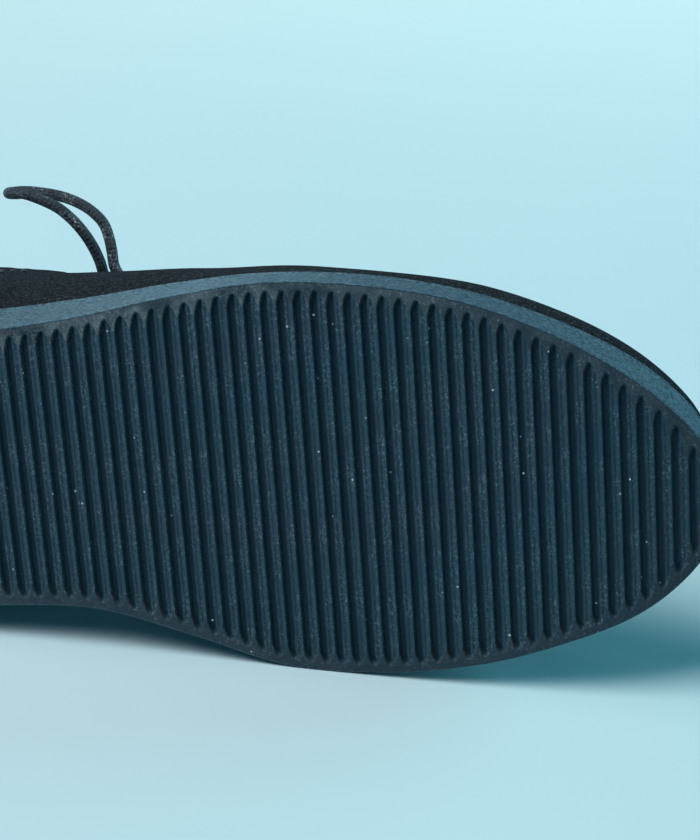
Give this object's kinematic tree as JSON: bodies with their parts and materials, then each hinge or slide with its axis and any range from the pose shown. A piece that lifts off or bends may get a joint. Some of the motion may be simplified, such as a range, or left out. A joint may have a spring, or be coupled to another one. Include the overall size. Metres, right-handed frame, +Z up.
{
  "type": "lace-up shoe",
  "caption": "Low lace-up shoe with a hollow suede upper, collar band and facings, on a wedge sole with fine cross ribs, laid on its inner side.",
  "frame": {"origin": "centre of the shoe's box, at the floor it lies on, leaving out the knot, loops and ends of its lace", "axes": "+X from heel to toe, -Y the way the tread faces, +Z up with the shoe on its inner side"},
  "size_m": [0.2976, 0.1379, 0.1064],
  "materials": {
    "rubber": "matte moulded rubber",
    "suede": "brushed suede",
    "lining": "woven lining",
    "lace": "waxed round cord",
    "aglet": "clear film over cord"
  },
  "bodies": {
    "root": {"outsole": "rubber", "upper": "suede", "insole": "lining", "tongue": "suede", "collar_binding": "suede", "facing_inner": "suede", "facing_outer": "suede", "lace_bar_1": "lace", "lace_bar_2": "lace", "lace_bar_3": "lace", "lace_bar_4": "lace", "lace_knot": "lace", "lace_loop_outer": "lace", "lace_end_outer": "lace", "aglet_outer": "aglet", "lace_loop_inner": "lace", "lace_end_inner": "lace", "aglet_inner": "aglet"}
  },
  "joints": []
}
